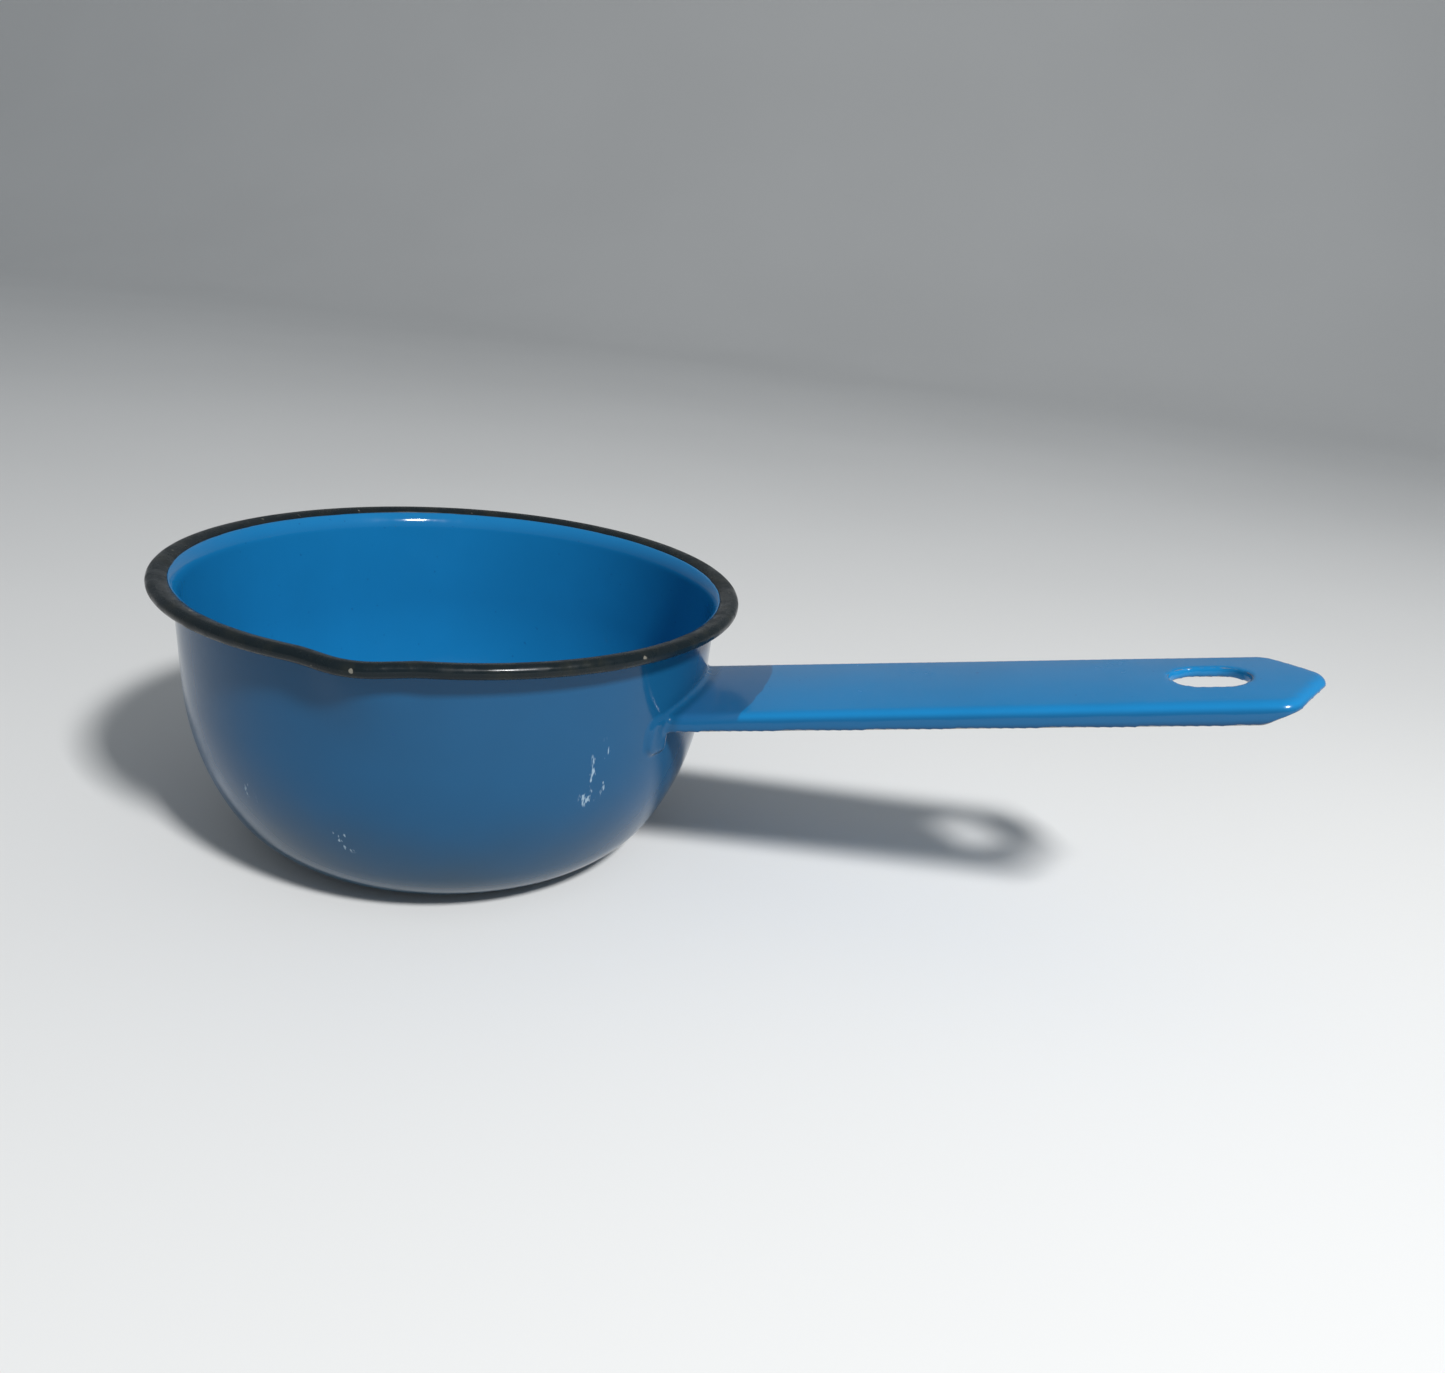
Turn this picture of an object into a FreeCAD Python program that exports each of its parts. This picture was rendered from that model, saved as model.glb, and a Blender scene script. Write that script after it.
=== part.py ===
import FreeCAD, Part
import math
import os

import Sketcher
from FreeCAD import Placement, Rotation, Vector

# A round-bottomed milk pan in vitreous enamel on pressed steel, with a long channel handle.
# Millimetres and degrees. +Z is up and the origin is the centre of the flat base. The handle
# points along +X and rises from the wall.
# Every skin of the pan is a "level": its depth below the blue outside surface. The steel lies
# between two levels and each coat of enamel lies on it, so neighbours share their faces.

sizeNotes = {
    "rimRadius": (65.3, "outside of the rolled rim"),
    "rimTop": (63.5, "top of the rolled rim above the base"),
    "beadRadius": (1.5, "rolled rim over its enamel"),
    "mouthRadius": (4.95, "inside surface, where the wall turns out into the rim"),
    "curlTurn": (240.0, "how far the rim is rolled, from its top"),
    "bandTurn": (36.0, "how far the black band reaches inwards from the rim's top"),
    "cornerRadius": (23.5, "arc that leaves the base"),
    "cornerTurn": (60.2, "slope where that arc ends"),
    "bellyRadius": (60.0, "arc from there up to the wall"),
    "wallLean": (87.5, "slope of the wall above the belly"),
    "steelGauge": (0.8, "pressed sheet of the bowl"),
    "enamelCoat": (0.25, "each coat of enamel"),
    "lipTurn": (-82.0, "pouring lip, round from the handle"),
    "lipSpan": (24.0, "angle that the lip takes up"),
    "lipPush": (2.2, "how far the lip stands out"),
    "lipDrop": (0.3, "how far the lip dips"),
    "handleLength": (130.1, "along the handle, from wall to tip"),
    "handleDrop": (17.4, "handle's root below the rim's top"),
    "handleRise": (11.5, "slope of the handle"),
    "handleGauge": (0.9, "pressed sheet of the handle"),
    "rootWidth": (38.0, "handle's width at the wall"),
    "noseWidth": (31.8, "handle's width where the nose begins"),
    "noseLength": (8.2, "from there to the tip"),
    "noseCorner": (5.0, "rounding where the sides turn into the nose's flanks"),
    "tipRadius": (6.0, "rounding of the tip, where the flanks meet"),
    "crownRise": (1.0, "how far the handle's back is arched"),
    "edgeRadius": (2.2, "rounding of the handle's long edges"),
    "rootDepth": (4.6, "channel's depth at the wall"),
    "fullDepth": (5.4, "channel's depth before the nose"),
    "noseDepth": (2.3, "channel's depth at the tip"),
    "runOut": (15.0, "how far before the tip the channel starts to run out"),
    "slotLength": (15.6, "hanging slot"),
    "slotWidth": (12.4, "hanging slot"),
    "slotSetback": (21.9, "from the tip to the slot's middle"),
    "collarDepth": (1.1, "slot's edge, turned down below the sheet"),
    "earReach": (4.5, "weld ear, beyond the channel's side"),
    "earHeight": (7.4, "weld ear"),
    "earDrop": (1.8, "weld ear's top edge below the handle's back"),
    "weldRadius": (1.5, "spot weld"),
}
# The flat of the base is what the wall and the two arcs leave over, so it follows them.
flatRule = """=(sin(wallLean) * (rimRadius - beadRadius) - cos(wallLean) * (rimTop - mouthRadius)
    - (mouthRadius - 2 * enamelCoat - steelGauge) - bellyRadius * (1 - cos(wallLean - cornerTurn))
    + cos(wallLean) * cornerRadius * (1 - cos(cornerTurn))) / sin(wallLean)
    - cornerRadius * sin(cornerTurn)"""

sealTurn = 25.0        # the outside coat wraps this far round the curl's cut edge
bridgeOuter = 25.0     # and leaves the wall's flare this far up it, on its own face
bridgeInner = 45.0     # or on the steel's face
footEase = 0.55        # share of the wall that stays straight from its foot up, beside the lip
mouthEase = 0.25       # and from the mouth down
runOutEase = 0.2       # the same for the curve in which the channel runs out
tipEase = 0.85
lipSections = 9        # outlines that the lip is lofted through
rootOverlap = 7.0      # blanks run this far into the wall before they are trimmed to it
earSweep = 120.0       # arc of wall that the ears are cut from
pastHandle = 15.0      # cutting blanks run this far past the handle
clearOfAll = 60.0      # and this far past everything
edgeSlack = 0.3        # how far an edge may stray and still be taken for the back's

doc = FreeCAD.newDocument("MilkPan")
sheet = doc.addObject("Spreadsheet::Sheet", "Sizes")
for row, (alias, (value, note)) in enumerate(sizeNotes.items(), start=1):
    sheet.set("A%d" % row, note)
    sheet.set("B%d" % row, str(value))
    sheet.setAlias("B%d" % row, alias)
flatRow = len(sizeNotes) + 1
sheet.set("A%d" % flatRow, "flat of the base")
sheet.set("B%d" % flatRow, " ".join(flatRule.split()))
sheet.setAlias("B%d" % flatRow, "flatRadius")
doc.recompute()


def size(alias):
    return float(sheet.get(alias))


# Levels, as depths below the outside surface, with the expression that gives each.
levels = {
    "outside": "0",
    "steelOut": "Sizes.enamelCoat",
    "steelIn": "Sizes.enamelCoat + Sizes.steelGauge",
    "inside": "2 * Sizes.enamelCoat + Sizes.steelGauge",
}
depths = {
    "outside": 0.0,
    "steelOut": size("enamelCoat"),
    "steelIn": size("enamelCoat") + size("steelGauge"),
    "inside": 2 * size("enamelCoat") + size("steelGauge"),
}
handleDepths = {
    "coatOut": 0.0,
    "sheetOut": size("enamelCoat"),
    "sheetIn": size("enamelCoat") + size("handleGauge"),
    "coatIn": 2 * size("enamelCoat") + size("handleGauge"),
}


# Sketch and body helpers.

def newBody(label):
    body = doc.addObject("PartDesign::Body", label)
    body.Label = label
    return body


def originPlane(body, role):
    return next(item for item in body.Origin.OriginFeatures if item.Role == role)


def newSketch(body, name, role, offset=None):
    sketch = body.newObject("Sketcher::SketchObject", name)
    sketch.AttachmentSupport = [(originPlane(body, role), "")]
    sketch.MapMode = "FlatFace"
    if offset is not None:
        sketch.AttachmentOffset = offset
    return sketch


def drawLoop(sketch, edges):
    """Adds a closed loop of (curve, starts at its own start, radius expression) and joins its ends."""
    first = sketch.GeometryCount
    for curve, _, _ in edges:
        sketch.addGeometry(curve, False)
    for step, (curve, forward, radius) in enumerate(edges):
        following = (step + 1) % len(edges)
        endPoint = 2 if forward else 1
        nextPoint = 1 if edges[following][1] else 2
        joint = Sketcher.Constraint("Coincident", first + step, endPoint, first + following, nextPoint)
        sketch.addConstraint(joint)
        if radius:
            index = sketch.addConstraint(Sketcher.Constraint("Radius", first + step, curve.Radius))
            sketch.setExpression("Constraints[%d]" % index, radius)


def line(start, end):
    return (Part.LineSegment(start, end), True, None)


def arc(centre, radius, fromAngle, toAngle, expression=None):
    """An arc either way round: Part's own arcs always run anticlockwise."""
    circle = Part.Circle(centre, Vector(0, 0, 1), radius)
    low, high = sorted((math.radians(fromAngle), math.radians(toAngle)))
    return (Part.ArcOfCircle(circle, low, high), toAngle > fromAngle, expression)


def reverse(edges):
    return [(curve, not forward, radius) for curve, forward, radius in reversed(edges)]


def polar(centre, radius, angle):
    turn = math.radians(angle)
    return centre + Vector(radius * math.cos(turn), radius * math.sin(turn), 0)


# The bowl's outline, in the half plane of radius and height.

cornerAngle = size("cornerTurn")
wallAngle = size("wallLean")
rimX = size("rimRadius") - size("beadRadius")
mouthCentre = Vector(rimX, size("rimTop") - size("mouthRadius"), 0)
beadCentre = Vector(rimX, size("rimTop") - size("beadRadius"), 0)
cornerCentre = Vector(size("flatRadius"), size("cornerRadius"), 0)
wallNormal = polar(Vector(), 1, wallAngle - 90)
wallAlong = polar(Vector(), 1, wallAngle)
cornerEnd = polar(cornerCentre, size("cornerRadius"), cornerAngle - 90)
bellyCentre = polar(cornerEnd, size("bellyRadius"), cornerAngle + 90)


def wallFoot(level):
    return polar(bellyCentre, size("bellyRadius") - depths[level], wallAngle - 90)


def wallRadiusAt(height, level):
    """Radius of the bowl at a height on the wall or the belly."""
    foot = wallFoot(level)
    if height > foot.y:
        return foot.x + (height - foot.y) / math.tan(math.radians(wallAngle))
    reach = size("bellyRadius") - depths[level]
    return bellyCentre.x + math.sqrt(reach ** 2 - (height - bellyCentre.y) ** 2)


def lowerChain(level):
    """Base, corner and belly, from the axis to the foot of the wall."""
    depth = depths[level]
    startOfCorner = Vector(size("flatRadius"), depth, 0)
    return [
        line(Vector(0, depth, 0), startOfCorner),
        arc(cornerCentre, size("cornerRadius") - depth, -90, cornerAngle - 90,
            "Sizes.cornerRadius - (%s)" % levels[level]),
        arc(bellyCentre, size("bellyRadius") - depth, cornerAngle - 90, wallAngle - 90,
            "Sizes.bellyRadius - (%s)" % levels[level]),
    ]


def wallCurve(level, shift):
    """Foot of the wall to the mouth's arc. It is straight except where the lip is pushed out."""
    start = wallFoot(level)
    end = mouthStart(level, shift)
    reach = (end - shift - start).Length
    poles = [
        start,
        start + wallAlong * (footEase * reach),
        end - wallAlong * (mouthEase * reach),
        end,
    ]
    curve = Part.BezierCurve()
    curve.setPoles(poles)
    return (curve.toBSpline(), True, None)


def mouthArcRadius(level):
    return size("mouthRadius") - (depths["inside"] - depths[level])


def mouthStart(level, shift):
    return polar(mouthCentre + shift, mouthArcRadius(level), wallAngle + 90)


def mouthArc(level, shift, fromAngle, toAngle):
    return arc(mouthCentre + shift, mouthArcRadius(level), fromAngle, toAngle,
               "Sizes.mouthRadius - 2 * Sizes.enamelCoat - Sizes.steelGauge + (%s)" % levels[level])


def beadArcRadius(level):
    return size("beadRadius") - (depths["inside"] - depths[level])


def beadArc(level, shift, fromAngle, toAngle):
    return arc(beadCentre + shift, beadArcRadius(level), fromAngle, toAngle,
               "Sizes.beadRadius - 2 * Sizes.enamelCoat - Sizes.steelGauge + (%s)" % levels[level])


curlEnd = 90 - size("curlTurn")
bandEnd = 90 + size("bandTurn")
sealEnd = curlEnd + sealTurn
flareStart = wallAngle + 90


def steelRimLoop(shift):
    """Wall and rolled rim of the steel."""
    outer = [wallCurve("steelOut", shift),
             mouthArc("steelOut", shift, flareStart, 90),
             beadArc("steelOut", shift, 90, curlEnd)]
    inner = [wallCurve("steelIn", shift),
             mouthArc("steelIn", shift, flareStart, 90),
             beadArc("steelIn", shift, 90, curlEnd)]
    cutEdge = line(polar(beadCentre + shift, beadArcRadius("steelOut"), curlEnd),
                   polar(beadCentre + shift, beadArcRadius("steelIn"), curlEnd))
    foot = line(wallFoot("steelIn"), wallFoot("steelOut"))
    return outer + [cutEdge] + reverse(inner) + [foot]


def insideRimLoop(shift):
    """Inside coat from the foot of the wall to the edge of the black band."""
    outer = [wallCurve("steelIn", shift), mouthArc("steelIn", shift, flareStart, bandEnd)]
    inner = [wallCurve("inside", shift), mouthArc("inside", shift, flareStart, bandEnd)]
    edge = line(polar(mouthCentre + shift, mouthArcRadius("steelIn"), bandEnd),
                polar(mouthCentre + shift, mouthArcRadius("inside"), bandEnd))
    foot = line(wallFoot("inside"), wallFoot("steelIn"))
    return outer + [edge] + reverse(inner) + [foot]


def outsideRimLoop(shift):
    """Outside coat. It bridges from the flared wall to the curl's cut edge and shuts the curl."""
    bead = beadCentre + shift
    mouth = mouthCentre + shift
    curlCorner = polar(bead, beadArcRadius("steelOut"), curlEnd)
    bridgeFoot = polar(mouth, mouthArcRadius("outside"), flareStart - bridgeOuter)
    bridgeRoot = polar(mouth, mouthArcRadius("steelOut"), flareStart - bridgeInner)
    return [
        wallCurve("outside", shift),
        mouthArc("outside", shift, flareStart, flareStart - bridgeOuter),
        line(bridgeFoot, polar(bead, size("beadRadius"), sealEnd)),
        beadArc("inside", shift, sealEnd, curlEnd),
        line(polar(bead, size("beadRadius"), curlEnd), curlCorner),
        line(curlCorner, bridgeRoot),
        mouthArc("steelOut", shift, flareStart - bridgeInner, flareStart),
    ] + reverse([wallCurve("steelOut", shift)]) + [line(wallFoot("steelOut"), wallFoot("outside"))]


def bandLoop(shift):
    """Black coat over the rolled rim, from inside the mouth to the curl's cut edge."""
    over = [mouthArc("inside", shift, bandEnd, 90), beadArc("inside", shift, 90, curlEnd)]
    under = [mouthArc("steelIn", shift, bandEnd, 90), beadArc("steelIn", shift, 90, curlEnd)]
    cutEdge = line(polar(beadCentre + shift, size("beadRadius"), curlEnd),
                   polar(beadCentre + shift, beadArcRadius("steelIn"), curlEnd))
    start = line(polar(mouthCentre + shift, mouthArcRadius("steelIn"), bandEnd),
                 polar(mouthCentre + shift, mouthArcRadius("inside"), bandEnd))
    return over + [cutEdge] + reverse(under) + [start]


def aroundAxis(angle):
    """Turns a sketch that stands on the XZ plane about the vertical axis."""
    return Placement(Vector(), Rotation(Vector(0, 1, 0), angle))


def addLower(body, outerLevel, innerLevel):
    sketch = newSketch(body, body.Label + "_lower", "XZ_Plane")
    innerStart = Vector(0, depths[innerLevel], 0)
    outerStart = Vector(0, depths[outerLevel], 0)
    drawLoop(sketch, lowerChain(outerLevel) + [line(wallFoot(outerLevel), wallFoot(innerLevel))]
             + reverse(lowerChain(innerLevel)) + [line(innerStart, outerStart)])
    turn = body.newObject("PartDesign::Revolution", body.Label + "_bowl")
    turn.Profile = sketch
    turn.ReferenceAxis = (sketch, ["V_Axis"])
    turn.Angle = 360


def addRim(body, loop):
    """Turns the rim's outline round all but the lip, and lofts the lip between its ends."""
    outline = newSketch(body, body.Label + "_rim", "XZ_Plane", aroundAxis(0))
    outline.setExpression("AttachmentOffset.Rotation.Angle", "Sizes.lipTurn + Sizes.lipSpan / 2")
    drawLoop(outline, loop(Vector()))
    turn = body.newObject("PartDesign::Revolution", body.Label + "_round")
    turn.Profile = outline
    turn.ReferenceAxis = (outline, ["V_Axis"])
    turn.setExpression("Angle", "360 - Sizes.lipSpan")
    sections = []
    for step in range(lipSections):
        across = 2 * step / (lipSections - 1) - 1
        share = math.cos(math.radians(90 * across)) ** 2
        shift = Vector(size("lipPush") * share, -size("lipDrop") * share, 0)
        section = newSketch(body, "%s_lip%d" % (body.Label, step), "XZ_Plane", aroundAxis(0))
        section.setExpression("AttachmentOffset.Rotation.Angle",
                              "Sizes.lipTurn + Sizes.lipSpan / 2 * %s" % across)
        drawLoop(section, loop(shift))
        sections.append(section)
    lip = body.newObject("PartDesign::AdditiveLoft", body.Label + "_lip")
    lip.Profile = sections[0]
    lip.Sections = sections[1:]


# The handle, in its own frame: X along its back, Z out of its back.

rootHeight = size("rimTop") - size("handleDrop")
handlePlace = Placement(Vector(wallRadiusAt(rootHeight, "outside"), 0, rootHeight),
                        Rotation(Vector(0, 1, 0), -size("handleRise")))
noseStart = size("handleLength") - size("noseLength")
crownRadius = (size("rootWidth") ** 2 / 4 + size("crownRise") ** 2) / (2 * size("crownRise"))


def planLoop(depth):
    """Handle seen from above: tapering sides, and flanks that meet in a blunt, rounded point."""
    half = size("noseWidth") / 2
    taper = math.degrees(math.atan((size("rootWidth") / 2 - half) / noseStart))
    beforeTip = size("noseLength") - size("tipRadius")
    flank = math.degrees(math.acos(size("tipRadius") / math.hypot(half, beforeTip))
                         - math.atan2(beforeTip, half))
    tipCentre = Vector(size("handleLength") - size("tipRadius"), 0, 0)
    tip = size("tipRadius") - depth
    # The corner's centre is equally deep inside the side and the flank.
    sideNormal = polar(Vector(), 1, 90 - taper)
    flankNormal = polar(Vector(), 1, 90 - flank)
    inwards = (sideNormal + flankNormal) / (1 + sideNormal.dot(flankNormal))
    far = Vector(noseStart, half, 0) - inwards * size("noseCorner")
    near = Vector(far.x, -far.y, 0)
    corner = size("noseCorner") - depth
    sideEndFar = polar(far, corner, 90 - taper)
    sideEndNear = polar(near, corner, taper - 90)
    widen = (sideEndFar.x + rootOverlap) * math.tan(math.radians(taper))
    rootFar = Vector(-rootOverlap, sideEndFar.y + widen, 0)
    rootNear = Vector(-rootOverlap, sideEndNear.y - widen, 0)
    cornerRule = "Sizes.noseCorner - %s" % depth
    return [
        line(rootFar, rootNear),
        line(rootNear, sideEndNear),
        arc(near, corner, taper - 90, flank - 90, cornerRule),
        line(polar(near, corner, flank - 90), polar(tipCentre, tip, flank - 90)),
        arc(tipCentre, tip, flank - 90, 90 - flank, "Sizes.tipRadius - %s" % depth),
        line(polar(tipCentre, tip, 90 - flank), polar(far, corner, 90 - flank)),
        arc(far, corner, 90 - flank, 90 - taper, cornerRule),
        line(sideEndFar, rootFar),
    ]


def topEdges(shape, depth):
    """Edges where the arched back meets the sides and the nose."""
    found = []
    lowest = -size("crownRise") - 2 * depth - edgeSlack
    for number, edge in enumerate(shape.Edges, start=1):
        box = edge.BoundBox
        if box.ZMin > lowest and box.XMax > 1 - rootOverlap:
            found.append("Edge%d" % number)
    return found


def handleBlank(label, levelName, trimmed):
    """A solid handle whose skin is a level; a trimmed one has the channel's real lower edge."""
    depth = handleDepths[levelName]
    body = newBody(label)
    plan = newSketch(body, label + "_plan", "XY_Plane")
    drawLoop(plan, planLoop(depth))
    prism = body.newObject("PartDesign::Pad", label + "_prism")
    prism.Profile = plan
    prism.Length = clearOfAll
    prism.Midplane = True
    doc.recompute()

    # Arched back, across the handle.
    back = newSketch(body, label + "_back", "YZ_Plane")
    crownCentre = Vector(0, -crownRadius, 0)
    reach = math.degrees(math.asin(size("rootWidth") / crownRadius))
    left = polar(crownCentre, crownRadius - depth, 90 + reach)
    right = polar(crownCentre, crownRadius - depth, 90 - reach)
    leftAbove = Vector(left.x, clearOfAll, 0)
    rightAbove = Vector(right.x, clearOfAll, 0)
    drawLoop(back, [
        arc(crownCentre, crownRadius - depth, 90 - reach, 90 + reach),
        line(left, leftAbove),
        line(leftAbove, rightAbove),
        line(rightAbove, right),
    ])
    arch = body.newObject("PartDesign::Pocket", label + "_arch")
    arch.Profile = back
    arch.Type = "ThroughAll"
    arch.Midplane = True
    doc.recompute()

    rounding = body.newObject("PartDesign::Fillet", label + "_edges")
    rounding.Base = (arch, topEdges(arch.Shape, depth))
    rounding.setExpression("Radius", "Sizes.edgeRadius - %s" % depth)
    doc.recompute()

    # Lower edge of the channel, seen from the side.
    side = newSketch(body, label + "_side", "XZ_Plane")
    start = -rootOverlap - 1
    beyond = size("handleLength") + 1
    fullAt = size("handleLength") - size("runOut")
    lift = depth if trimmed else -pastHandle
    rootEdge = Vector(start, -size("rootDepth") + lift, 0)
    fullEdge = Vector(fullAt, -size("fullDepth") + lift, 0)
    tipEdge = Vector(beyond, -size("noseDepth") + lift, 0)
    startBelow = Vector(start, -clearOfAll, 0)
    beyondBelow = Vector(beyond, -clearOfAll, 0)
    runOut = Part.BezierCurve()
    runOut.setPoles([
        fullEdge,
        fullEdge + Vector(runOutEase * size("runOut"), 0, 0),
        tipEdge - Vector(tipEase * size("runOut"), 0, 0),
        tipEdge,
    ])
    drawLoop(side, [
        line(rootEdge, fullEdge),
        (runOut.toBSpline(), True, None),
        line(tipEdge, beyondBelow),
        line(beyondBelow, startBelow),
        line(startBelow, rootEdge),
    ])
    under = body.newObject("PartDesign::Pocket", label + "_under")
    under.Profile = side
    under.Type = "ThroughAll"
    under.Midplane = True
    doc.recompute()
    body.Placement = handlePlace
    return body


def slotPrism(label, growth, low, high):
    """A stadium along the handle, as large as the slot plus a growth all round."""
    body = newBody(label)
    sketch = newSketch(body, label + "_outline", "XY_Plane")
    radius = size("slotWidth") / 2 + growth
    run = (size("slotLength") - size("slotWidth")) / 2
    middle = size("handleLength") - size("slotSetback")
    nearEnd = Vector(middle - run, 0, 0)
    farEnd = Vector(middle + run, 0, 0)
    aside = Vector(0, radius, 0)
    radiusRule = "Sizes.slotWidth / 2 + %s" % growth
    drawLoop(sketch, [
        arc(farEnd, radius, -90, 90, radiusRule),
        line(farEnd + aside, nearEnd + aside),
        arc(nearEnd, radius, 90, 270, radiusRule),
        line(nearEnd - aside, farEnd - aside),
    ])
    sketch.AttachmentOffset = Placement(Vector(0, 0, low), Rotation())
    pad = body.newObject("PartDesign::Pad", label + "_pad")
    pad.Profile = sketch
    pad.Length = high - low
    body.Placement = handlePlace
    return body


def joined(kind, label, shapes):
    """A boolean of document objects: MultiFuse of several, or Cut of two."""
    result = doc.addObject(kind, label)
    if kind == "Part::Cut":
        result.Base, result.Tool = shapes
    else:
        result.Shapes = shapes
    result.Label = label
    return result


earMiddle = rootHeight - size("earDrop") - size("earHeight") / 2


def earPlate(label, outerReach, growth):
    """Weld ears: a plate that hugs the wall's steel, outlined as a rounded bar across it."""
    ring = newBody(label + "_ring")
    sketch = newSketch(ring, label + "_strip", "XZ_Plane")
    # It starts well inside the wall, and the bowl's own face trims it.
    heights = (earMiddle - size("earHeight"), earMiddle, earMiddle + size("earHeight"))
    inner = [Vector(wallRadiusAt(height, "inside"), height, 0) for height in heights]
    outward = wallNormal * outerReach
    outer = [Vector(wallRadiusAt(height, "steelOut"), height, 0) + outward for height in heights]
    innerCurve = Part.ArcOfCircle(*inner)
    outerCurve = Part.ArcOfCircle(*outer)
    innerForward = (innerCurve.StartPoint - inner[0]).Length < 0.001
    outerForward = (outerCurve.StartPoint - outer[0]).Length < 0.001
    drawLoop(sketch, [
        (innerCurve, innerForward, None),
        line(inner[2], outer[2]),
        (outerCurve, not outerForward, None),
        line(outer[0], inner[0]),
    ])
    turn = ring.newObject("PartDesign::Revolution", label + "_turn")
    turn.Profile = sketch
    turn.ReferenceAxis = (sketch, ["V_Axis"])
    turn.Angle = earSweep
    turn.Midplane = True

    bar = newBody(label + "_bar")
    outline = newSketch(bar, label + "_outline", "YZ_Plane")
    halfWide = size("rootWidth") / 2 + size("earReach") + growth
    halfTall = size("earHeight") / 2 + growth
    corner = size("earHeight") / 3 + growth
    across = halfWide - corner
    rise = halfTall - corner
    centres = [(Vector(across, earMiddle + rise, 0), 0), (Vector(-across, earMiddle + rise, 0), 90),
               (Vector(-across, earMiddle - rise, 0), 180), (Vector(across, earMiddle - rise, 0), 270)]
    edges = []
    for step, (centre, angle) in enumerate(centres):
        following, nextAngle = centres[(step + 1) % 4]
        edges.append(arc(centre, corner, angle, angle + 90, "Sizes.earHeight / 3 + %s" % growth))
        edges.append(line(polar(centre, corner, angle + 90), polar(following, corner, nextAngle)))
    drawLoop(outline, edges)
    pad = bar.newObject("PartDesign::Pad", label + "_bar_pad")
    pad.Profile = outline
    pad.Length = 2 * size("rimRadius")
    return joined("Part::MultiCommon", label, [ring, bar])


# Bowl.

bowlSteelPressing = newBody("bowl_pressing")
addLower(bowlSteelPressing, "steelOut", "steelIn")
addRim(bowlSteelPressing, steelRimLoop)

insideEnamel = newBody("inside_enamel")
addLower(insideEnamel, "steelIn", "inside")
addRim(insideEnamel, insideRimLoop)

outsideCoat = newBody("outside_coat")
addLower(outsideCoat, "outside", "steelOut")
addRim(outsideCoat, outsideRimLoop)

rimEnamel = newBody("rim_enamel")
addRim(rimEnamel, bandLoop)

# Everything inside the steel's outer face, to trim the handle to the wall.
wallTrim = newBody("wall_trim")
trimSketch = newSketch(wallTrim, "wall_trim_outline", "XZ_Plane")
trimTop = mouthStart("steelOut", Vector())
trimFoot = wallFoot("steelOut")
drawLoop(trimSketch, lowerChain("steelOut") + [
    line(trimFoot, trimTop),
    line(trimTop, Vector(0, trimTop.y, 0)),
    line(Vector(0, trimTop.y, 0), Vector(0, depths["steelOut"], 0)),
])
trimTurn = wallTrim.newObject("PartDesign::Revolution", "wall_trim_turn")
trimTurn.Profile = trimSketch
trimTurn.ReferenceAxis = (trimSketch, ["V_Axis"])
trimTurn.Angle = 360
doc.recompute()

# Handle.

coat = size("enamelCoat")
collarLow = handleDepths["sheetIn"] + size("collarDepth")
steelBlank = handleBlank("steel_blank", "sheetOut", True)
steelHollow = handleBlank("steel_hollow", "sheetIn", False)
coatBlank = handleBlank("coat_blank", "coatOut", True)
coatHollow = handleBlank("coat_hollow", "coatIn", False)

earSteel = earPlate("ear_steel", size("handleGauge"), 0.0)
earCoat = earPlate("ear_coat", size("handleGauge") + coat, coat)

# The hollow is left full round the slot, which leaves its edge turned down as a collar.
steelCollar = slotPrism("steel_collar", coat + size("handleGauge"), -collarLow, pastHandle)
coatCollar = slotPrism("coat_collar", 2 * coat + size("handleGauge"), -collarLow - coat, pastHandle)
steelSlot = slotPrism("steel_slot", coat, -pastHandle, pastHandle)
coatSlot = slotPrism("coat_slot", 0.0, -pastHandle, pastHandle)


def pressHandle(label, blank, ear, hollow, collar, slot):
    """Blank and ears, less the channel's hollow, the slot and the bowl."""
    whole = joined("Part::MultiFuse", label + "_whole", [blank, ear])
    cavity = joined("Part::Cut", label + "_cavity", [hollow, collar])
    channel = joined("Part::Cut", label + "_channel", [whole, cavity])
    slotted = joined("Part::Cut", label + "_slotted", [channel, slot])
    return joined("Part::Cut", label, [slotted, wallTrim])


handlePressing = pressHandle("handle_pressing", steelBlank, earSteel, steelHollow, steelCollar, steelSlot)
handleSkin = pressHandle("handle_skin", coatBlank, earCoat, coatHollow, coatCollar, coatSlot)

# Spot welds, half in each sheet.

weldNodes = []
weldAcross = size("rootWidth") / 2 + size("earReach") / 2
wallAtWeld = wallRadiusAt(earMiddle, "steelOut")
for label, sense in (("weld_lip_side", -1), ("weld_far_side", 1)):
    weld = doc.addObject("Part::Cylinder", label)
    weld.Label = label
    weld.setExpression("Radius", "Sizes.weldRadius")
    weld.setExpression("Height", "(Sizes.steelGauge + Sizes.handleGauge) / 2")
    turn = sense * math.degrees(math.asin(weldAcross / wallAtWeld))
    outward = Vector(math.cos(math.radians(turn)), math.sin(math.radians(turn)), 0)
    start = outward * (wallAtWeld - size("steelGauge") / 2) + Vector(0, 0, earMiddle)
    weld.Placement = Placement(start, Rotation(Vector(0, 0, 1), outward))
    weldNodes.append(weld)

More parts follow.
